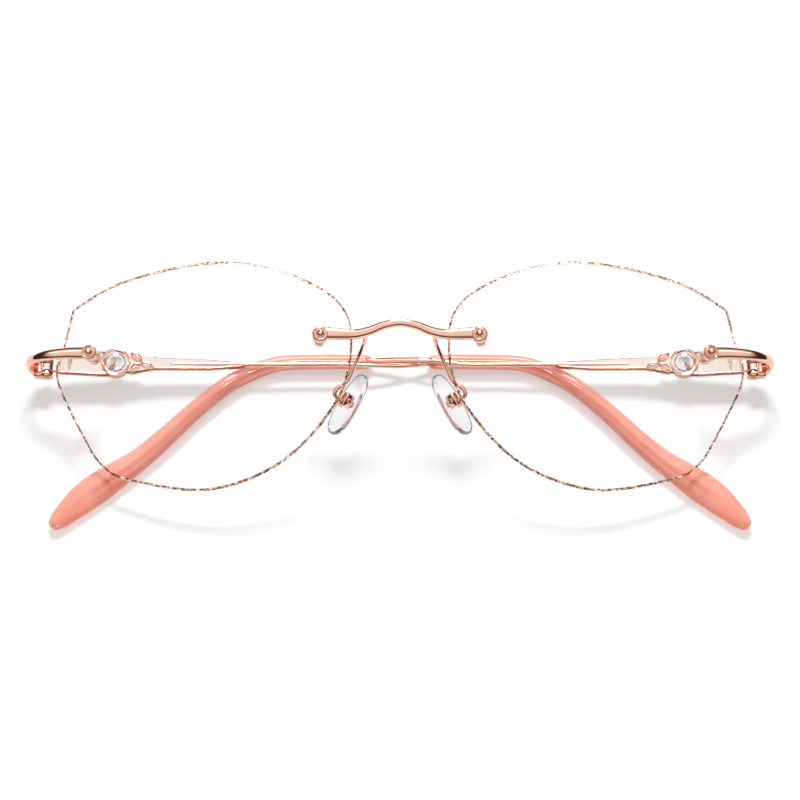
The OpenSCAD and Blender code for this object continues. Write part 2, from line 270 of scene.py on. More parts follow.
def noise(nt, scale, detail, roughness=0.5):
    where = nt.nodes.new("ShaderNodeTexCoord")
    n = nt.nodes.new("ShaderNodeTexNoise")
    n.inputs["Scale"].default_value = scale
    n.inputs["Detail"].default_value = detail
    n.inputs["Roughness"].default_value = roughness
    nt.links.new(where.outputs["Object"], n.inputs["Vector"])
    return n


def ramp(nt, source, stops):
    """Colours for a value, as (position, colour) stops."""
    r = nt.nodes.new("ShaderNodeValToRGB")
    while len(r.color_ramp.elements) < len(stops):
        r.color_ramp.elements.new(0.5)
    for e, (at, colour) in zip(r.color_ramp.elements, stops):
        e.position = at
        e.color = (*colour, 1)
    nt.links.new(source, r.inputs["Fac"])
    return r


def span(nt, source, low, high):
    """Spreads a 0 to 1 value over low to high."""
    m = nt.nodes.new("ShaderNodeMapRange")
    m.inputs["To Min"].default_value = low
    m.inputs["To Max"].default_value = high
    nt.links.new(source, m.inputs["Value"])
    return m.outputs["Result"]


def bump(nt, source, strength, distance):
    b = nt.nodes.new("ShaderNodeBump")
    b.inputs["Strength"].default_value = strength
    b.inputs["Distance"].default_value = distance
    nt.links.new(source, b.inputs["Height"])
    return b.outputs["Normal"]


def blend(nt, share, first, second):
    """Mixes two shaders; share is a number or an output of a node."""
    mix = nt.nodes.new("ShaderNodeMixShader")
    if isinstance(share, float):
        mix.inputs["Fac"].default_value = share
    else:
        nt.links.new(share, mix.inputs["Fac"])
    nt.links.new(first, mix.inputs[1])
    nt.links.new(second, mix.inputs[2])
    return mix.outputs["Shader"]


def plated(name, dark, light, rough, wear=0.1, side_shade=None):
    """Polished plating: slow colour drift, uneven polish and a fine buffed grain.

    side_shade is painted shade, a deeper tint for the sides of a flat bar against its two broad
    faces."""
    mat, nt, out = new_material(name)
    shade = nt.nodes.new("ShaderNodeBsdfPrincipled")
    shade.inputs["Metallic"].default_value = 1.0
    slow = noise(nt, 260, 2)
    fine = noise(nt, 5400, 2)
    tint = ramp(nt, slow.outputs["Fac"], [(0.3, dark), (0.7, light)]).outputs["Color"]
    # painted shade: faces whose object-space normal lies far from straight up or down take the
    # darker side colour in place of the plating tint
    if side_shade:
        where = nt.nodes.new("ShaderNodeTexCoord")
        split = nt.nodes.new("ShaderNodeSeparateXYZ")
        nt.links.new(where.outputs["Normal"], split.inputs["Vector"])
        flat = nt.nodes.new("ShaderNodeMath")
        flat.operation = "ABSOLUTE"
        nt.links.new(split.outputs["Z"], flat.inputs[0])
        edge = nt.nodes.new("ShaderNodeMapRange")
        edge.inputs["From Min"].default_value = 0.75
        edge.inputs["From Max"].default_value = 0.93
        nt.links.new(flat.outputs["Value"], edge.inputs["Value"])
        mix = nt.nodes.new("ShaderNodeMix")
        mix.data_type = "RGBA"
        nt.links.new(edge.outputs["Result"], mix.inputs["Factor"])
        # sockets 6 and 7 are the two colours, and output 2 is their blend
        mix.inputs[6].default_value = (*side_shade, 1)
        nt.links.new(tint, mix.inputs[7])
        tint = mix.outputs[2]
    nt.links.new(tint, shade.inputs["Base Color"])
    nt.links.new(span(nt, fine.outputs["Fac"], *rough), shade.inputs["Roughness"])
    nt.links.new(bump(nt, fine.outputs["Fac"], wear, 0.00002), shade.inputs["Normal"])
    nt.links.new(shade.outputs["BSDF"], out.inputs["Surface"])
    return mat


def lamp_glass(nt, out, shade, colour):
    """Lets light from the lamps through a clear shader, tinted."""
    path = nt.nodes.new("ShaderNodeLightPath")
    clear = nt.nodes.new("ShaderNodeBsdfTransparent")
    clear.inputs["Color"].default_value = (*colour, 1)
    seen = blend(nt, path.outputs["Is Shadow Ray"], shade, clear.outputs["BSDF"])
    nt.links.new(seen, out.inputs["Surface"])


def lens_material():
    """A thin coated lens: nearly unseen head on, with a soft mirrored sheen at a slant."""
    mat, nt, out = new_material("lens_plastic")
    clear = nt.nodes.new("ShaderNodeBsdfTransparent")
    drift = noise(nt, 45, 2)
    tint = ramp(nt, drift.outputs["Fac"], [(0.35, (0.985, 0.987, 0.99)),
                                           (0.65, (0.995, 0.994, 0.993))])
    nt.links.new(tint.outputs["Color"], clear.inputs["Color"])
    gloss = nt.nodes.new("ShaderNodeBsdfPrincipled")
    gloss.inputs["Base Color"].default_value = (0.9, 0.92, 0.96, 1)
    gloss.inputs["Metallic"].default_value = 1.0
    smear = noise(nt, 120, 4)
    nt.links.new(span(nt, smear.outputs["Fac"], 0.02, 0.07), gloss.inputs["Roughness"])
    slant = nt.nodes.new("ShaderNodeLayerWeight")
    steep = nt.nodes.new("ShaderNodeMath")
    steep.operation = "POWER"
    steep.inputs[1].default_value = 4.0
    nt.links.new(slant.outputs["Facing"], steep.inputs[0])
    path = nt.nodes.new("ShaderNodeLightPath")
    lit = nt.nodes.new("ShaderNodeMath")
    lit.operation = "SUBTRACT"
    lit.use_clamp = True
    nt.links.new(span(nt, steep.outputs["Value"], 0.012, 0.5), lit.inputs[0])
    nt.links.new(path.outputs["Is Shadow Ray"], lit.inputs[1])
    coated = blend(nt, lit.outputs["Value"], clear.outputs["BSDF"], gloss.outputs["BSDF"])
    nt.links.new(coated, out.inputs["Surface"])
    return mat


def edge_material():
    """Cut and coated lens edge: every facet has its own depth of rose gold."""
    mat, nt, out = new_material("edge_coating")
    shade = nt.nodes.new("ShaderNodeBsdfPrincipled")
    shade.inputs["Metallic"].default_value = 1.0
    where = nt.nodes.new("ShaderNodeTexCoord")
    cells = nt.nodes.new("ShaderNodeTexVoronoi")
    cells.inputs["Scale"].default_value = 2400
    nt.links.new(where.outputs["Object"], cells.inputs["Vector"])
    tint = ramp(nt, cells.outputs["Color"], [(0.2, (0.28, 0.11, 0.055)), (0.4, (0.60, 0.29, 0.17)),
                                             (0.55, (0.85, 0.53, 0.38)),
                                             (0.75, (0.98, 0.88, 0.78))])
    nt.links.new(tint.outputs["Color"], shade.inputs["Base Color"])
    nt.links.new(span(nt, cells.outputs["Distance"], 0.12, 0.4), shade.inputs["Roughness"])
    nt.links.new(shade.outputs["BSDF"], out.inputs["Surface"])
    return mat


def sleeve_material():
    """Translucent salmon plastic with faint clouding and a polished skin."""
    mat, nt, out = new_material("salmon_acetate")
    shade = nt.nodes.new("ShaderNodeBsdfPrincipled")
    cloud = noise(nt, 170, 3, 0.6)
    tint = ramp(nt, cloud.outputs["Fac"], [(0.3, (0.96, 0.37, 0.28)), (0.7, (0.99, 0.48, 0.37))])
    nt.links.new(tint.outputs["Color"], shade.inputs["Base Color"])
    skin = noise(nt, 2500, 2)
    nt.links.new(span(nt, skin.outputs["Fac"], 0.08, 0.16), shade.inputs["Roughness"])
    nt.links.new(bump(nt, skin.outputs["Fac"], 0.05, 0.00003), shade.inputs["Normal"])
    shade.inputs["Subsurface Weight"].default_value = 0.4
    shade.inputs["Subsurface Radius"].default_value = (0.003, 0.0012, 0.001)
    shade.inputs["Subsurface Scale"].default_value = 0.6
    clear = nt.nodes.new("ShaderNodeBsdfTransparent")
    glow = ramp(nt, cloud.outputs["Fac"], [(0.3, (0.98, 0.74, 0.68)), (0.7, (1.0, 0.82, 0.77))])
    nt.links.new(glow.outputs["Color"], clear.inputs["Color"])
    plastic = blend(nt, 0.5, clear.outputs["BSDF"], shade.outputs["BSDF"])
    nt.links.new(plastic, out.inputs["Surface"])
    return mat


def clear_material(name, colour, rough, ior, shadow):
    """Clear moulded plastic or silicone with slight waviness."""
    mat, nt, out = new_material(name)
    shade = nt.nodes.new("ShaderNodeBsdfPrincipled")
    flow = noise(nt, 400, 3)
    tint = ramp(nt, flow.outputs["Fac"], [(0.3, tuple(c * 0.96 for c in colour)), (0.7, colour)])
    nt.links.new(tint.outputs["Color"], shade.inputs["Base Color"])
    nt.links.new(span(nt, flow.outputs["Fac"], *rough), shade.inputs["Roughness"])
    nt.links.new(bump(nt, flow.outputs["Fac"], 0.15, 0.0001), shade.inputs["Normal"])
    shade.inputs["IOR"].default_value = ior
    shade.inputs["Transmission Weight"].default_value = 0.95
    lamp_glass(nt, out, shade.outputs["BSDF"], shadow)
    return mat


def stone_material():
    """Mirror-bright facets, standing in for the sparkle of a cut crystal."""
    mat, nt, out = new_material("crystal")
    shade = nt.nodes.new("ShaderNodeBsdfPrincipled")
    fire = noise(nt, 900, 1)
    tint = ramp(nt, fire.outputs["Fac"], [(0.35, (0.86, 0.84, 0.93)), (0.5, (0.97, 0.96, 0.97)),
                                          (0.65, (0.95, 0.90, 0.86))])
    nt.links.new(tint.outputs["Color"], shade.inputs["Base Color"])
    nt.links.new(span(nt, fire.outputs["Fac"], 0.0, 0.04), shade.inputs["Roughness"])
    shade.inputs["Metallic"].default_value = 0.92
    nt.links.new(shade.outputs["BSDF"], out.inputs["Surface"])
    return mat


def leaf_material():
    """The hollows of the leaves: stippled rose gold."""
    mat, nt, out = new_material("leaf_gold")
    shade = nt.nodes.new("ShaderNodeBsdfPrincipled")
    shade.inputs["Metallic"].default_value = 1.0
    stipple = noise(nt, 6000, 1)
    tint = ramp(nt, stipple.outputs["Fac"], [(0.4, (0.80, 0.45, 0.33)), (0.6, (0.97, 0.78, 0.68))])
    nt.links.new(tint.outputs["Color"], shade.inputs["Base Color"])
    nt.links.new(span(nt, stipple.outputs["Fac"], 0.35, 0.15), shade.inputs["Roughness"])
    nt.links.new(bump(nt, stipple.outputs["Fac"], 0.6, 0.00006), shade.inputs["Normal"])
    nt.links.new(shade.outputs["BSDF"], out.inputs["Surface"])
    return mat


ROSE = plated("rose_gold", (0.88, 0.51, 0.38), (0.95, 0.61, 0.48), (0.05, 0.12))
# the pale bar's sides carry a painted shade in a deeper rose
PALE = plated("pale_rose_gold", (0.96, 0.83, 0.75), (0.98, 0.90, 0.84), (0.07, 0.15), 0.05,
              side_shade=(0.82, 0.43, 0.31))
LENS = lens_material()
EDGE = edge_material()
SALMON = sleeve_material()
WASHER = clear_material("clear_plastic", (0.95, 0.95, 0.97), (0.02, 0.08), 1.3, (0.85, 0.85, 0.87))
SILICONE = clear_material("silicone", (0.93, 0.93, 0.96), (0.03, 0.10), 1.36, (0.80, 0.80, 0.83))
STONE = stone_material()
LEAF = leaf_material()


# ---------------------------------------------------------------- lenses
def lens_outline(steps):
    return smooth(LENS_POINTS, steps)[:-1]


def inset(outline, by):
    """The outline moved inwards; it runs clockwise seen from the front."""
    n, out = len(outline), []
    for i in range(n):
        a = Vector(outline[i]) - Vector(outline[i - 1])
        b = Vector(outline[(i + 1) % n]) - Vector(outline[i])
        a, b = (Vector((v.y, -v.x)).normalized() for v in (a, b))
        out.append(Vector(outline[i]) + by * (a + b) / (1 + a.dot(b)))
    return out


def sheet_height(x, y, offset):
    """Height of a surface concentric with the lens's middle surface."""
    r = LENS_R + offset
    return LENS_SAG - LENS_R + math.sqrt(r * r - x * x - y * y)


def make_lens(side):
    """The clear lens, as rings from its middle to its bevelled rim and back."""
    rim = inset(lens_outline(14), EDGE_W)
    shares = [0.02] + [k / 16 for k in range(1, 16)] + [0.985, 1.0]
    half = LENS_T / 2
    layers = [(s, half) for s in shares[:-1]] + [(1.0, half - 0.1), (1.0, 0.1 - half)]
    layers += [(s, -half) for s in shares[-2::-1]]
    rings = [[(p.x * s, p.y * s, sheet_height(p.x * s, p.y * s, h)) for p in rim]
             for s, h in layers]
    shape = Shape().loops(rings, lens_place(side))
    shape.piece(f"lens_glass_{side}", LENS, "front", [f"lens_{side}"], "lens_plastic", 30)


def make_lens_edge(side):
    """The cut edge: two rows of small flat facets, none quite like its neighbours."""
    pick = random.Random(7 if side == "left" else 11)
    outline = lens_outline(38)
    inner = inset(outline, EDGE_W + 0.02)
    ridge = inset(outline, 0.06)
    half = 0.32
    rings = [[], [], [], [], [], []]
    for p, q, r in zip(outline, ridge, inner):
        w = [pick.uniform(-0.1, 0.1) for _ in range(5)]
        for k, (at, h) in enumerate(((r, half), (r.lerp(q, 0.55 + w[0]), half + w[1]),
                                     (q, half * 0.45 + w[2]), (q, -half * 0.45 + w[3]),
                                     (r.lerp(q, 0.55 + w[4]), -half), (r, -half))):
            rings[k].append((at.x, at.y, sheet_height(at.x, at.y, h)))
    shape = Shape().loops(rings, lens_place(side), caps=False, closed=True)
    shape.piece(f"cut_edge_{side}", EDGE, "front", [f"lens_edge_{side}"], "edge_coating",
                angle=0)


# ---------------------------------------------------------------- rivets
def make_rivets(kind, at):
    """The pair of rivets of one kind, with their clear washers and cap nuts."""
    stud_r, ring_r, ring_wire, ball_r, nut_r = 0.6, 1.16, 0.17, 0.8, 0.95
    studs, washers, nuts = Shape(), Shape(), Shape()
    for side in SIDES:
        place = on_lens(side, at)
        # ball head in a ring, on a plain stud
        studs.lathe(rounded(stud_r, -BAR_BACK - 0.7, BAR_FRONT + 0.1, 0.08), place)
        studs.hoop([(ring_r + ring_wire * math.cos(a),
                     BAR_FRONT + 0.05 + ring_wire * math.sin(a))
                    for a in (2 * math.pi * k / 12 for k in range(12))], place)
        studs.lathe([(max(ball_r * math.cos(a), AXIS), BAR_FRONT - 0.1 + ball_r * math.sin(a))
                     for a in (math.radians(d) for d in range(-40, 91, 10))], place)
        for z in (-LENS_T / 2 - WASHER_T, LENS_T / 2):
            r, low, high = WASHER_R, z + 0.01, z + WASHER_T - 0.01
            washers.hoop([(0.63, low), (r - 0.1, low), (r, low + 0.1), (r, high - 0.1),
                          (r - 0.1, high), (0.63, high)], place)
        top = -BAR_BACK - 0.01
        nuts.lathe([(AXIS, top), (nut_r - 0.1, top), (nut_r, top - 0.1), (nut_r, top - 0.4),
                    (nut_r - 0.1, top - 0.65), (0.6, top - 0.86), (0.3, top - 0.97),
                    (AXIS, top - 1.0)], place)
    studs.piece(f"{kind}_ball_rivets", ROSE, "front", [f"{kind}_rivets"], "rose_gold", 50)
    washers.piece(f"{kind}_clear_washers", WASHER, "front", [f"{kind}_washers"],
                  "clear_plastic", 30)
    nuts.piece(f"{kind}_cap_nuts", ROSE, "front", [f"{kind}_nuts"], "rose_gold", 40)


# ---------------------------------------------------------------- bridge
# stations from the rivet to the middle: x, y, height, half width, half depth
BRIDGE_HALF = [(-14.6, 14.7, 13.25, 1.25, 0.85), (-11.5, 14.45, 13.5, 1.1, 0.8),
               (-8.9, 14.3, 13.75, 0.97, 0.78), (-7.1, 14.5, 13.9, 0.92, 0.76),
               (-5.3, 15.0, 14.0, 0.88, 0.75), (-3.0, 15.9, 14.1, 0.8, 0.72),
               (0, 16.4, 14.2, 0.75, 0.7)]


def make_bridge():
    """The arched bar with a round pad at each rivet."""
    whole = BRIDGE_HALF + [(-x, u, f, w, d) for x, u, f, w, d in BRIDGE_HALF[-2::-1]]
    shape = Shape().sweep(smooth(whole, 10), 32, front("left"), power=0.85)
    for side in SIDES:
        shape.lathe(rounded(1.5, BAR_BACK, BAR_FRONT, 0.35, 6), on_lens(side, BRIDGE_RIVET), 48)
    shape.piece("bridge_bar", ROSE, "front", ["bridge"], "rose_gold", 40)


# ---------------------------------------------------------------- nose pads
PAD_AT = Vector((-9.45, 2.9, 5.0))
PAD_LEAN = math.radians(28)
PAD_SPLAY = math.radians(42)
PIVOT_BACK, LUG_SIDE = 2.1, 1.2
PAD_L, PAD_W, PAD_T = 12.8, 5.8, 1.6
BOX_W, BOX_H, BOX_WALL = 2.6, 2.6, 0.45
ARM = [(-6.4, 14.35, 13.5), (-6.5, 13.6, 11.8), (-7.45, 11.5, 10.0), (-8.7, 8.95, 9.1),
       (-9.6, 6.9, 8.9), (-10.5, 5.8, 9.0), (-11.6, 5.2, 9.1), (-12.1, 4.1, 8.9),
       (-11.5, 3.3, 8.4), (-10.95, 3.0, 7.85)]


def pad_place(side):
    return (front(side) @ Matrix.Translation(PAD_AT) @ turn(-PAD_LEAN, "Z")
            @ turn(PAD_SPLAY, "Y"))


def pin_place(side):
    """The pin that a pad rocks on, with +Z along it."""
    return pad_place(side) @ moved(-PIVOT_BACK, 0, LUG_SIDE)


def pad_ring(share, height, sides=40):
    ring = []
    for k in range(sides):
        a = 2 * math.pi * k / sides
        c, s = math.cos(a), math.sin(a)
        across = math.copysign(abs(c) ** 0.85, c) * PAD_W / 2 * share
        # the lower end is a little fuller than the upper one
        along = math.copysign(abs(s) ** 0.9, s) * (PAD_L / 2 - PAD_W / 2 * (1 - share))
        ring.append((height, along, across * (1 - 0.05 * s)))
    return ring


def make_pad(side):
    """A clear cushion: domed towards the nose, dished behind, with a thick bevelled rim."""
    place = pad_place(side)
    h = PAD_T / 2
    layers = [(0.04, h), (0.4, h * 0.96), (0.7, h * 0.82), (0.88, h * 0.52), (0.97, h * 0.1),
              (1.0, -h * 0.35), (0.985, -h * 0.75), (0.93, -h), (0.86, -h * 1.0),
              (0.8, -h * 0.72), (0.72, -h * 0.62), (0.4, -h * 0.6), (0.04, -h * 0.6)]
    shape = Shape().loops([pad_ring(s, z) for s, z in layers], place)
    lug = BOX_W / 2 - BOX_WALL - 0.06
    pin = pin_place(side)
    shape.block((0.35, -0.6, -lug), (PIVOT_BACK - h * 0.5, 0.6, lug), pin, 0.12)
    shape.hoop([(0.36, -lug), (0.53, -lug), (0.6, -lug + 0.07), (0.6, lug - 0.07), (0.53, lug),
                (0.36, lug)], pin, 28)
    shape.piece(f"silicone_pad_{side}", SILICONE, f"pad_{side}", [f"nose_pad_{side}"],
                "silicone", 45)


def make_pad_box(side):
    """The open box that holds the pad's lug: two cheeks and a back."""
    pin, box = pin_place(side), Shape()
    low, high = -BOX_W / 2, BOX_W / 2
    back, mouth = -1.1, 0.8
    for z0, z1 in ((low, low + BOX_WALL), (high - BOX_WALL, high)):
        box.block((back, -BOX_H / 2, z0), (mouth, BOX_H / 2, z1), pin, 0.12)
    box.block((back, -BOX_H / 2, low + 0.1), (back + BOX_WALL, BOX_H / 2, high - 0.1), pin, 0.12)
    box.piece(f"pad_cup_{side}", ROSE, "front", [f"pad_box_{side}"], "rose_gold", 50)


def make_pad_screw(side):
    pin, low, high = pin_place(side), -BOX_W / 2, BOX_W / 2
    screw = Shape().lathe(rounded(0.3, low - 0.1, high + 0.12, 0.06), pin, 24)
    screw.lathe(rounded(0.65, high + 0.02, high + 0.3, 0.1), pin, 28)
    for sign in (-1, 1):
        screw.block((-0.5, min(sign * 0.1, sign * 0.5), high + 0.25),
                    (0.5, max(sign * 0.1, sign * 0.5), high + 0.4), pin, 0.06)
    screw.piece(f"pad_slot_screw_{side}", ROSE, "front", [f"pad_screw_{side}"], "rose_gold", 50)


def make_pad_arm(side):
    arm = Shape().sweep([(*p, 0.4, 0.4) for p in smooth(ARM, 10)], 16, front(side),
                        round_ends=True)
    arm.piece(f"pad_wire_{side}", ROSE, "front", [f"pad_arm_{side}"], "rose_gold", 50)


# ---------------------------------------------------------------- endpieces and hinges
WRAP_BAR = [(-57.6, 10.55, 11.4, 0.7, 1.2), (-61.5, 10.8, 10.75, 0.7, 1.1),
            (-65.6, 10.75, 9.75, 0.75, 0.98), (-68.4, 10.75, 7.6, 0.75, 0.9),
            (-69.4, 10.9, 5.2, 0.7, 1.0), (-69.1, 11.0, 3.4, 0.7, 1.4),
            (-68.5, 11.0, 2.3, 0.65, 1.7)]


def make_endpiece(side):
    """The tapered bar from the rivet back to the hinge, with its two barrels."""
    shape = Shape().sweep(smooth(WRAP_BAR, 8), 28, temple(side), up=(0, 1, 0), power=0.85)
    shape.lathe(rounded(1.5, BAR_BACK, BAR_FRONT, 0.38, 6), on_lens(side, TEMPLE_RIVET), 48)
    for low, high in (KNUCKLES[0], KNUCKLES[2]):
        place = hinge_place(side)
        knuckle(shape, place, low, high)
        shape.block((-2.3, -0.8, low + 0.02), (-0.9, 0.8, high - 0.02), place, 0.12)
    shape.piece(f"wrap_bar_{side}", ROSE, "front", [f"endpiece_{side}"], "rose_gold", 45)


def make_hinge_screw(side):
    place, top = hinge_place(side), KNUCKLES[2][1]
    screw = Shape().lathe(rounded(0.45, KNUCKLES[0][0] - 0.15, top, 0.06), place, 24)
    screw.lathe(rounded(0.85, top + 0.01, top + 0.22, 0.08), place, 32)
    for sign in (-1, 1):
        screw.block((min(sign * 0.12, sign * 0.66), -0.5, top + 0.18),
                    (max(sign * 0.12, sign * 0.66), 0.5, top + 0.35), place, 0.06)
    screw.piece(f"hinge_slot_screw_{side}", ROSE, "front", [f"hinge_screw_{side}"],
                "rose_gold", 45)


# ---------------------------------------------------------------- temples
PLATE_TOP = [(1.7, 13.5), (2.1, 13.9), (6, 14.3), (10.2, 14.6), (12.9, 14.6), (15.2, 13.7),
             (20.4, 13.35), (30.5, 13.0), (36.8, 12.55), (37.9, 12.0)]
PLATE_BOTTOM = [(1.7, 10.3), (2.1, 9.9), (6, 9.75), (10.4, 9.5), (12.9, 9.6), (15.2, 10.2),
                (16.5, 10.1), (18.8, 10.6), (20.4, 10.85), (30.5, 10.9), (36.4, 11.4),
                (37.9, 12.0)]


def line_at(line, x):
    for (x0, y0), (x1, y1) in zip(line, line[1:]):
        if x0 <= x <= x1:
            return y0 + (y1 - y0) * (x - x0) / (x1 - x0)
    return line[-1][1]


def plate_rings(half, hollow):
    """Cross-sections of the flat bar: a shallow channel near the hinge, plain further on."""
    rings = []
    xs = [1.7, 1.8, 2.0] + [2.1 + 0.5 * k for k in range(1, 71)] + [37.4, 37.7, 37.88]
    for x in xs:
        low, high = line_at(PLATE_BOTTOM, x), line_at(PLATE_TOP, x)
        middle, h = (low + high) / 2, (high - low) / 2
        depth = hollow * min(1, max(0, (x - 2.6) / 0.8)) * min(1, max(0, (11.2 - x) / 0.8))
        edge = min(0.22, h * 0.4)
        rim = min(0.42, h * 0.6)
        ring = [(x, middle - h, -half + edge), (x, middle - h + edge, -half),
                (x, middle - h + rim, -half), (x, middle - h + rim + 0.04 * h, -half + depth),
                (x, middle + h - rim - 0.04 * h, -half + depth), (x, middle + h - rim, -half),
                (x, middle + h - edge, -half), (x, middle + h, -half + edge)]
        ring += [(x, y, -z) for x, y, z in ring[::-1]]
        rings.append(ring)
    return rings


def make_plate(side):
    """The flat temple bar with its eye for the stone and the hinge's middle barrel."""
    place = bar_place(side)
    shape = Shape().loops(plate_rings(PLATE_T / 2, PLATE_HOLLOW), place)
    stone = place @ moved(*STONE_AT, 0)
    half = PLATE_T / 2
    shape.hoop([(EYE_R, -half), (BEZEL_R, -half), (BEZEL_R, half),
                (EYE_R, half)], stone, 64)
    low, high = KNUCKLES[1]
    knuckle(shape, hinge_place(side), low, high)
    shape.block((0.9, -0.5, low), (2.4, 0.5, high), hinge_place(side), 0.1)
    shape.piece(f"temple_bar_{side}", PALE, f"temple_{side}", [f"temple_plate_{side}"],
                "pale_rose_gold", 28)


def make_plate_beads(side):
    """Fine rolled beads along the long edges of the flat bar, on both faces."""
    beads = Shape()
    for line, shift, r in ((PLATE_TOP, -0.1, 0.1), (PLATE_BOTTOM, 0.25, 0.16)):
        for start, stop in ((2.4, 10.3), (20.2, 36.4)):
            xs = [start + (stop - start) * k / 30 for k in range(31)]
            for face in (-1, 1):
                beads.sweep([(x, line_at(line, x) + shift, face * PLATE_T / 2, r, 0.9 * r)
                             for x in xs], 10, bar_place(side), round_ends=True)
    beads.piece(f"temple_bar_beads_{side}", ROSE, f"temple_{side}", (), "rose_gold", 40)


def make_setting(side):
    """A rolled rim round the stone on each face of the bar."""
    place = bar_place(side) @ moved(*STONE_AT, 0)
    half = PLATE_T / 2
    rims = Shape()
    for face in (-1, 1):
        profile = [(EYE_R, 0), (BEZEL_R, 0), (BEZEL_R, 0.28), (BEZEL_R - 0.08, 0.4),
                   (BEZEL_R - 0.22, 0.45), (STONE_R + 0.08, 0.38), (EYE_R, 0.25)]
        rims.hoop([(r, face * (half + z)) for r, z in profile], place, 72)
    rims.piece(f"stone_rim_{side}", ROSE, f"temple_{side}", [f"bezel_{side}"], "rose_gold", 35)


def make_stone(side):
    """A faceted point towards the lens, and a flat table on the other face."""
    place = bar_place(side) @ moved(*STONE_AT, 0)

    def level(r, z, n, shift=0.0):
        return [(r * math.cos(2 * math.pi * (k + shift) / n),
                 r * math.sin(2 * math.pi * (k + shift) / n), z) for k in range(n)]

    n, girdle_r = 12, STONE_R - 0.02
    points = (level(girdle_r, 0.0, n) + level(girdle_r, 0.32, n)
              + level(1.72, 0.72, n, 0.5) + level(1.2, 0.86, n // 2, 0.5) + [(0, 0, 1.25)]
              + level(1.35, -0.7, n, 0.5))
    inner, tip, table = 3 * n, 3 * n + n // 2, 3 * n + n // 2 + 1
    faces = [tuple(table + k for k in range(n))]
    for k in range(n):
        j = (k + 1) % n
        faces += [(k, j, n + j, n + k), (n + k, n + j, 2 * n + k), (n + j, 2 * n + j, 2 * n + k),
                  (k, j, table + k), (j, table + j, table + k)]
    for k in range(n // 2):
        j = (k + 1) % (n // 2)
        a, b, c = (2 * n + (2 * k + i) % n for i in range(3))
        faces += [(a, b, inner + k), (b, c, inner + j), (b, inner + j, inner + k),
                  (inner + k, inner + j, tip)]
    stone = Shape().add(points, faces, place)
    stone.piece(f"cut_stone_{side}", STONE, f"temple_{side}", [f"crystal_{side}"], "crystal",
                angle=0)


LEAVES = [(16.8, 13.2, 3.0, 1.5, -33), (16.55, 11.05, 2.6, 1.45, 40), (18.8, 11.5, 2.9, 1.35, -18)]


def make_leaves(side):
    """Three leaves on each face: a rolled outline round a stippled hollow with its veins."""
    rims, grounds = Shape(), Shape()
    for face in (-1, 1):
        for x, y, length, width, angle in LEAVES:
            place = (bar_place(side) @ moved(x, y, face * PLATE_T / 2)
                     @ turn(math.radians(angle), "Z") @ Matrix.Scale(face, 4, (0, 0, 1)))
            steps = 18
            half = [(length * (k / steps - 0.5), width / 2 * math.sin(math.pi * k / steps) ** 0.75)
                    for k in range(steps + 1)]
            outline = half + [(a, -b) for a, b in half[-2:0:-1]]
            profile = [(1.0, 0.0), (1.0, 0.25), (0.96, 0.33), (0.88, 0.35), (0.8, 0.3), (0.76, 0.1),
                       (0.76, 0.0)]
            rims.loops([[(a * s, b * s, z) for a, b in outline] for s, z in profile], place,
                       caps=False, closed=True)
            grounds.loops([[(a * s, b * s, z) for a, b in outline]
                           for s, z in ((0.78, 0.0), (0.78, 0.07), (0.4, 0.13), (0.05, 0.15))],
                          place)
            for t in (-0.22, -0.05, 0.12, 0.28):
                for sign in (-1, 1):
                    rims.sweep([(length * (t + 0.1 * q), sign * width * 0.3 * q, 0.14, 0.05, 0.06)
                                for q in (0, 0.5, 1)], 6, place)
            # the midrib, slightly wavy
            rims.sweep([(length * t, 0.05 * math.sin(6 * t), 0.17, 0.06, 0.07)
                        for t in (k / 10 - 0.4 for k in range(9))], 8, place)
    rims.piece(f"leaf_outlines_{side}", ROSE, f"temple_{side}", [f"leaf_ornament_{side}"],
               "rose_gold", 40)
    grounds.piece(f"leaf_hollows_{side}", LEAF, f"temple_{side}", (), "rose_gold", 30)


CROSSING = {"left": (12.1, 12.3, 13.05), "right": (13.0, 13.45, 13.6)}


def wire_route(side):
    g = CROSSING[side]
    return [(-43, 12.0, 1.75), (-36, 12.0, 1.6), (-29, 12.05, 1.4), (-20, 12.1, 1.28),
            (-12, 12.15, 1.2), (-6.4, g[0], 0.98), (0, g[1], 0.05), (5.4, g[2], -0.8),
            (9.5, 13.45, -1.0), (16, 13.5, -1.0), (21, 13.35, -1.0), (24.6, 12.7, -0.95),
            (28.4, 11.0, -0.65), (32.6, 8.4, 0.1), (38.4, 3.0, 1.25), (44.2, -3.2, 2.4),
            (48.7, -7.6, 3.15), (53.0, -11.0, 3.7), (56.5, -13.8, 4.15)]


def wire_size(side, x):
    """Half width and half depth: round, with the upper wire pressed flat at the middle."""
    flat = 0
    if side == "right":
        flat = min(1, max(0, (x + 6.2) / 0.9)) * min(1, max(0, (5.7 - x) / 0.9))
    return 0.43 + 0.17 * flat, 0.43 - 0.12 * flat


# stations: x, y, height, half width, half depth
SLEEVE = [(6.1, 13.45, -0.95, 1.1, 1.1), (6.7, 13.45, -0.95, 1.38, 1.38),
          (12, 13.5, -0.98, 1.42, 1.42), (20.8, 13.35, -1.0, 1.45, 1.42),
          (24.6, 12.7, -0.95, 1.5, 1.42), (28.4, 11.0, -0.65, 1.58, 1.42),
          (32.6, 8.4, 0.1, 1.65, 1.42), (38.4, 3.0, 1.25, 1.75, 1.42),
          (44.2, -3.2, 2.4, 1.95, 1.42), (48.7, -7.6, 3.15, 2.2, 1.4),
          (52.6, -10.7, 3.65, 2.65, 1.35), (55.3, -12.8, 3.98, 2.95, 1.3),
          (58.4, -15.45, 4.4, 2.85, 1.27), (60.6, -17.65, 4.8, 2.4, 1.22),
          (62.6, -19.8, 5.2, 1.85, 1.15), (63.4, -20.7, 5.38, 1.35, 1.0)]


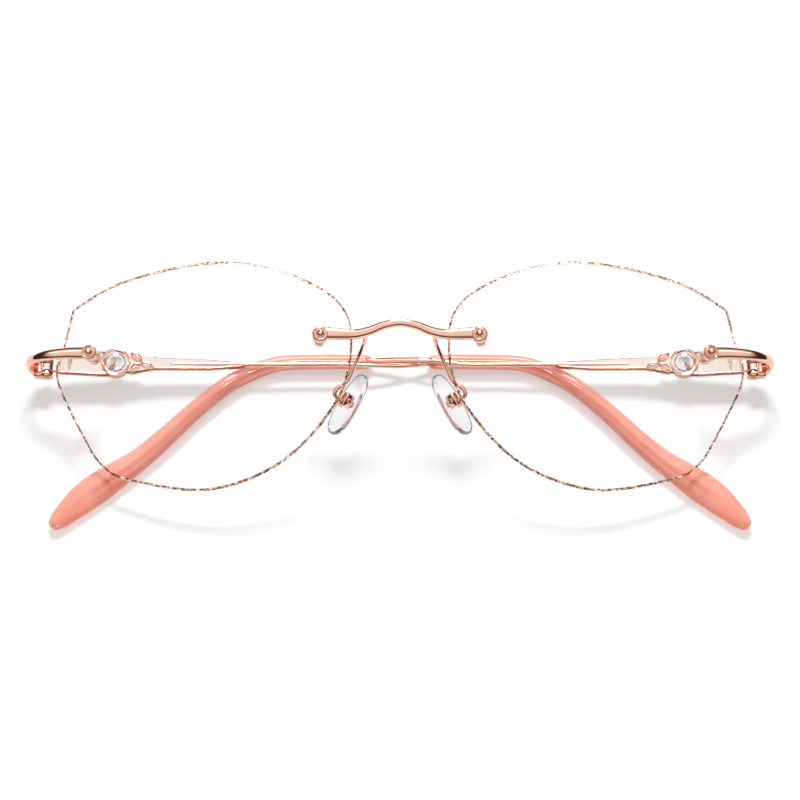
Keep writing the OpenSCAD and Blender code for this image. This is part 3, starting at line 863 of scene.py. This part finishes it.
def make_wire_and_sleeve(side):
    """The core wire from the bar, and the moulded sleeve round its outer part."""
    place = temple(side)
    route = [(*p, *wire_size(side, p[0])) for p in smooth(wire_route(side), 12)]
    wire = Shape().sweep(route, 16, place, round_ends=True)
    wire.piece(f"core_wire_{side}", ROSE, f"temple_{side}", [f"temple_wire_{side}"],
               "rose_gold", 50)
    sleeve = Shape().sweep(smooth(SLEEVE, 8), 32, place, round_ends=True)
    sleeve.piece(f"moulded_sleeve_{side}", SALMON, f"temple_{side}", [f"temple_sleeve_{side}"],
                 "salmon_acetate", 60)


make_rivets("bridge", BRIDGE_RIVET)
make_rivets("temple", TEMPLE_RIVET)
make_bridge()
for side in SIDES:
    make_lens(side)
    make_lens_edge(side)
    make_pad(side)
    make_pad_box(side)
    make_pad_screw(side)
    make_pad_arm(side)
    make_endpiece(side)
    make_hinge_screw(side)
    make_plate(side)
    make_plate_beads(side)
    make_setting(side)
    make_stone(side)
    make_leaves(side)
    make_wire_and_sleeve(side)


# ---------------------------------------------------------------- stage, light and camera
def make_floor():
    mesh = bpy.data.meshes.new("table_top")
    reach = 3.0      # metres
    mesh.from_pydata([(-reach, -reach, 0), (reach, -reach, 0), (reach, reach, 0),
                      (-reach, reach, 0)],
                     [], [(0, 1, 2, 3)])
    floor = bpy.data.objects.new("table_top", mesh)
    bpy.context.scene.collection.objects.link(floor)
    mat, nt, out = new_material("pale_table")
    shade = nt.nodes.new("ShaderNodeBsdfPrincipled")
    grain = noise(nt, 30, 2)
    tint = ramp(nt, grain.outputs["Fac"], [(0.3, (0.93, 0.93, 0.93)), (0.7, (0.94, 0.94, 0.94))])
    nt.links.new(tint.outputs["Color"], shade.inputs["Base Color"])
    shade.inputs["Roughness"].default_value = 0.9
    shade.inputs["Specular IOR Level"].default_value = 0.0
    # a milky sheet: it takes the shadows, and opened temples still show below it
    clear = nt.nodes.new("ShaderNodeBsdfTransparent")
    milky = blend(nt, 0.6, clear.outputs["BSDF"], shade.outputs["BSDF"])
    nt.links.new(milky, out.inputs["Surface"])
    mesh.materials.append(mat)


def make_world():
    """White to the camera; in reflections a bright table and softbox with darker walls."""
    world = bpy.data.worlds.new("studio")
    bpy.context.scene.world = world
    world.use_nodes = True
    nt = world.node_tree
    nt.nodes.clear()
    out = nt.nodes.new("ShaderNodeOutputWorld")
    where = nt.nodes.new("ShaderNodeTexCoord")
    split = nt.nodes.new("ShaderNodeSeparateXYZ")
    nt.links.new(where.outputs["Generated"], split.inputs["Vector"])
    level = nt.nodes.new("ShaderNodeMapRange")
    level.inputs["From Min"].default_value = -1
    nt.links.new(split.outputs["Z"], level.inputs["Value"])
    height = ramp(nt, level.outputs["Result"],
                  [(0.0, (0.95, 0.94, 0.93)), (0.49, (0.85, 0.82, 0.8)),
                   (0.51, (0.03, 0.02, 0.015)), (0.76, (0.07, 0.045, 0.035)),
                   (0.86, (0.62, 0.58, 0.56)), (0.93, (0.93, 0.92, 0.91)),
                   (1.0, (0.97, 0.97, 0.96))])
    studio = nt.nodes.new("ShaderNodeBackground")
    studio.inputs["Strength"].default_value = 1.0
    nt.links.new(height.outputs["Color"], studio.inputs["Color"])
    plain = nt.nodes.new("ShaderNodeBackground")
    plain.inputs["Color"].default_value = (0.98, 0.98, 0.98, 1)
    path = nt.nodes.new("ShaderNodeLightPath")
    seen = blend(nt, path.outputs["Is Camera Ray"], studio.outputs["Background"],
                 plain.outputs["Background"])
    nt.links.new(seen, out.inputs["Surface"])


def area_light(name, at, size, power):
    """A rectangular lamp aimed at the object; metres and watts."""
    data = bpy.data.lights.new(name, "AREA")
    data.shape = "RECTANGLE"
    data.size, data.size_y = size
    data.energy = power
    lamp = bpy.data.objects.new(name, data)
    bpy.context.scene.collection.objects.link(lamp)
    lamp.location = at
    lamp.rotation_euler = (-Vector(at)).to_track_quat("-Z", "Y").to_euler()
    return lamp


def make_camera():
    elevation = math.radians(59)
    distance = 0.6      # metres
    aim = Vector((0, ORIGIN.y, 10 + ORIGIN.z)) * MM
    data = bpy.data.cameras.new("camera")
    data.sensor_width = 36
    data.lens = 146
    camera = bpy.data.objects.new("camera", data)
    bpy.context.scene.collection.objects.link(camera)
    away = Vector((0, -math.cos(elevation), math.sin(elevation)))
    camera.location = aim + away * distance
    camera.rotation_euler = (-away).to_track_quat("-Z", "Y").to_euler()
    data.clip_start = 0.01
    bpy.context.scene.camera = camera


make_floor()
make_world()
area_light("key_from_behind", (0.0, 0.75, 0.75), (0.35, 0.2), 12)
strip = area_light("overhead_strip", (0.0, 0.28, 0.75), (1.4, 0.08), 0.8)
strip.visible_diffuse = False
make_camera()
bpy.context.scene.view_settings.view_transform = "Standard"
bpy.context.scene.view_settings.look = "None"
